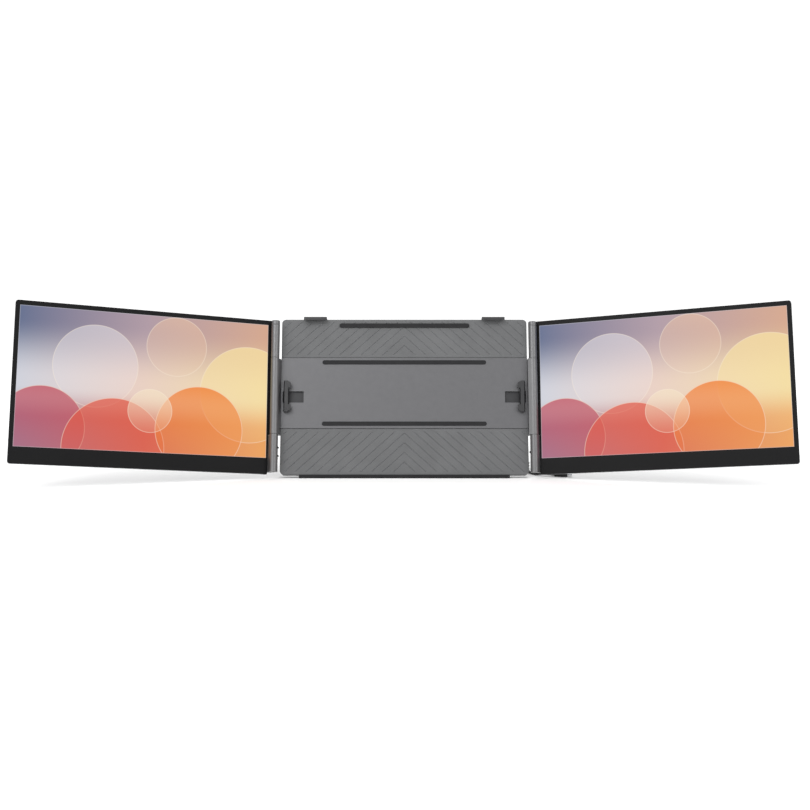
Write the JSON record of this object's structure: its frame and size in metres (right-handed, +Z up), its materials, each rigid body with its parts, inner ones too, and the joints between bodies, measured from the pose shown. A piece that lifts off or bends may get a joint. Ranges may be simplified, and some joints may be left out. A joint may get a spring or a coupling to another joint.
{
  "type": "laptop screen extender",
  "caption": "Leaning centre frame that clips to the back of a laptop lid, with a hinged screen folding out on each side, sliding lid clips, fold-out rear stand and video cable.",
  "frame": {"origin": "on the table plane, on the rubber foot strip's lower face, below the middle of the frame's lower front edge", "axes": "+X to the right along the row of screens as the user sees them, +Y away from the user, +Z up"},
  "size_m": [1.0536, 0.2359, 0.254],
  "materials": {
    "shell_plastic": "fine-grained moulded ABS",
    "chassis_aluminium": "milled plate",
    "grip_plastic": "satin moulding with sloping grooves",
    "band_metal": "bead-blasted, anodised grey",
    "hinge_metal": "bead-blasted, anodised grey",
    "bright_steel": "turned",
    "guide_plastic": "moulded acetal",
    "silicone": "matte",
    "foot_rubber": "matte",
    "circuit_board": "solder mask",
    "dark_screw": "black zinc",
    "leg_metal": "powder-coated steel sheet",
    "hook_metal": "powder-coated",
    "cover_metal": "bead-blasted, anodised grey",
    "bezel_plastic": "satin black ABS",
    "display_glass": "display panel with a matt front film",
    "light_guide": "acrylic light guide in a white tray",
    "bush_bronze": "sintered bronze",
    "button_plastic": "satin",
    "cable_jacket": "soft PVC",
    "plug_plastic": "moulded with a steel shell",
    "tie_fabric": "hook-and-loop tape"
  },
  "bodies": {
    "frame": {"back_shell": "shell_plastic", "chassis_plate": "chassis_aluminium", "upper_grip_panel": "grip_plastic", "lower_grip_panel": "grip_plastic", "middle_band": "band_metal", "left_hinge_block": "hinge_metal", "right_hinge_block": "hinge_metal", "left_hinge_shaft": "bright_steel", "right_hinge_shaft": "bright_steel", "friction_washers": "bright_steel", "side_clip_guides": "guide_plastic", "top_clip_guides": "guide_plastic", "lid_pads": "silicone", "foot_strip": "foot_rubber", "kickstand_brackets": "bright_steel", "control_board": "circuit_board", "usb_sockets": "bright_steel", "frame_screws": "dark_screw", "cable_lead": "cable_jacket", "cable_coil": "cable_jacket", "cable_tail": "cable_jacket", "near_plug": "plug_plastic", "far_plug": "plug_plastic", "cable_tie": "tie_fabric"},
    "left_screen": {"left_back_cover": "cover_metal", "left_bezel": "bezel_plastic", "left_display": "display_glass", "left_backlight": "light_guide", "left_driver_board": "circuit_board", "left_hinge_spine": "hinge_metal", "left_knuckle_caps": "hinge_metal", "left_bushes": "bush_bronze", "left_screws": "dark_screw"},
    "right_screen": {"right_back_cover": "cover_metal", "right_bezel": "bezel_plastic", "right_display": "display_glass", "right_backlight": "light_guide", "right_driver_board": "circuit_board", "right_hinge_spine": "hinge_metal", "right_knuckle_caps": "hinge_metal", "right_bushes": "bush_bronze", "right_screws": "dark_screw", "right_bumpers": "silicone"},
    "left_clip": {"left_clip_hook": "hook_metal", "left_clip_pad": "silicone", "left_clip_carriage": "guide_plastic"},
    "right_clip": {"right_clip_hook": "hook_metal", "right_clip_pad": "silicone", "right_clip_carriage": "guide_plastic"},
    "left_lid_hook": {"left_top_clip": "hook_metal", "left_top_pad": "silicone"},
    "right_lid_hook": {"right_top_clip": "hook_metal", "right_top_pad": "silicone"},
    "kickstand": {"kickstand_leg": "leg_metal", "kickstand_pins": "bright_steel", "kickstand_foot": "foot_rubber"},
    "left_key_a": {"left_button_upper": "button_plastic"},
    "left_key_b": {"left_button_lower": "button_plastic"},
    "right_key": {"right_button_single": "button_plastic"}
  },
  "joints": [
    {"name": "left_screen_hinge", "type": "hinge", "parent": "frame", "child": "left_screen", "pos_m": [-0.1852, 0.01769, 0.1163], "axis": [0, 0.2656, 0.9641], "range_deg": [-20.2, 159.8]},
    {"name": "right_screen_hinge", "type": "hinge", "parent": "frame", "child": "right_screen", "pos_m": [0.1852, 0.02396, 0.11457], "axis": [0, -0.2656, -0.9641], "range_deg": [-20.2, 159.8]},
    {"name": "left_clip_slide", "type": "slide", "parent": "frame", "child": "left_clip", "axis": [-1, 0, 0], "range_m": [-0.022, 0.003]},
    {"name": "right_clip_slide", "type": "slide", "parent": "frame", "child": "right_clip", "axis": [1, 0, 0], "range_m": [-0.022, 0.003]},
    {"name": "left_lid_hook_slide", "type": "slide", "parent": "frame", "child": "left_lid_hook", "axis": [0, 0.2656, 0.9641], "range_m": [0, 0.025]},
    {"name": "right_lid_hook_slide", "type": "slide", "parent": "frame", "child": "right_lid_hook", "axis": [0, 0.2656, 0.9641], "range_m": [0, 0.025]},
    {"name": "kickstand_fold", "type": "hinge", "parent": "frame", "child": "kickstand", "pos_m": [0, 0.05507, 0.15786], "axis": [1, 0, 0], "range_deg": [-26, 0]},
    {"name": "left_key_a_press", "type": "slide", "parent": "left_screen", "child": "left_key_a", "axis": [-1, 0, 0], "range_m": [0, 0.0006], "stiffness_N_per_m": 400, "springref_m": -0.0004},
    {"name": "left_key_b_press", "type": "slide", "parent": "left_screen", "child": "left_key_b", "axis": [-1, 0, 0], "range_m": [0, 0.0006], "stiffness_N_per_m": 400, "springref_m": -0.0004},
    {"name": "right_key_press", "type": "slide", "parent": "right_screen", "child": "right_key", "axis": [1, 0, 0], "range_m": [0, 0.0006], "stiffness_N_per_m": 400, "springref_m": -0.0004}
  ]
}
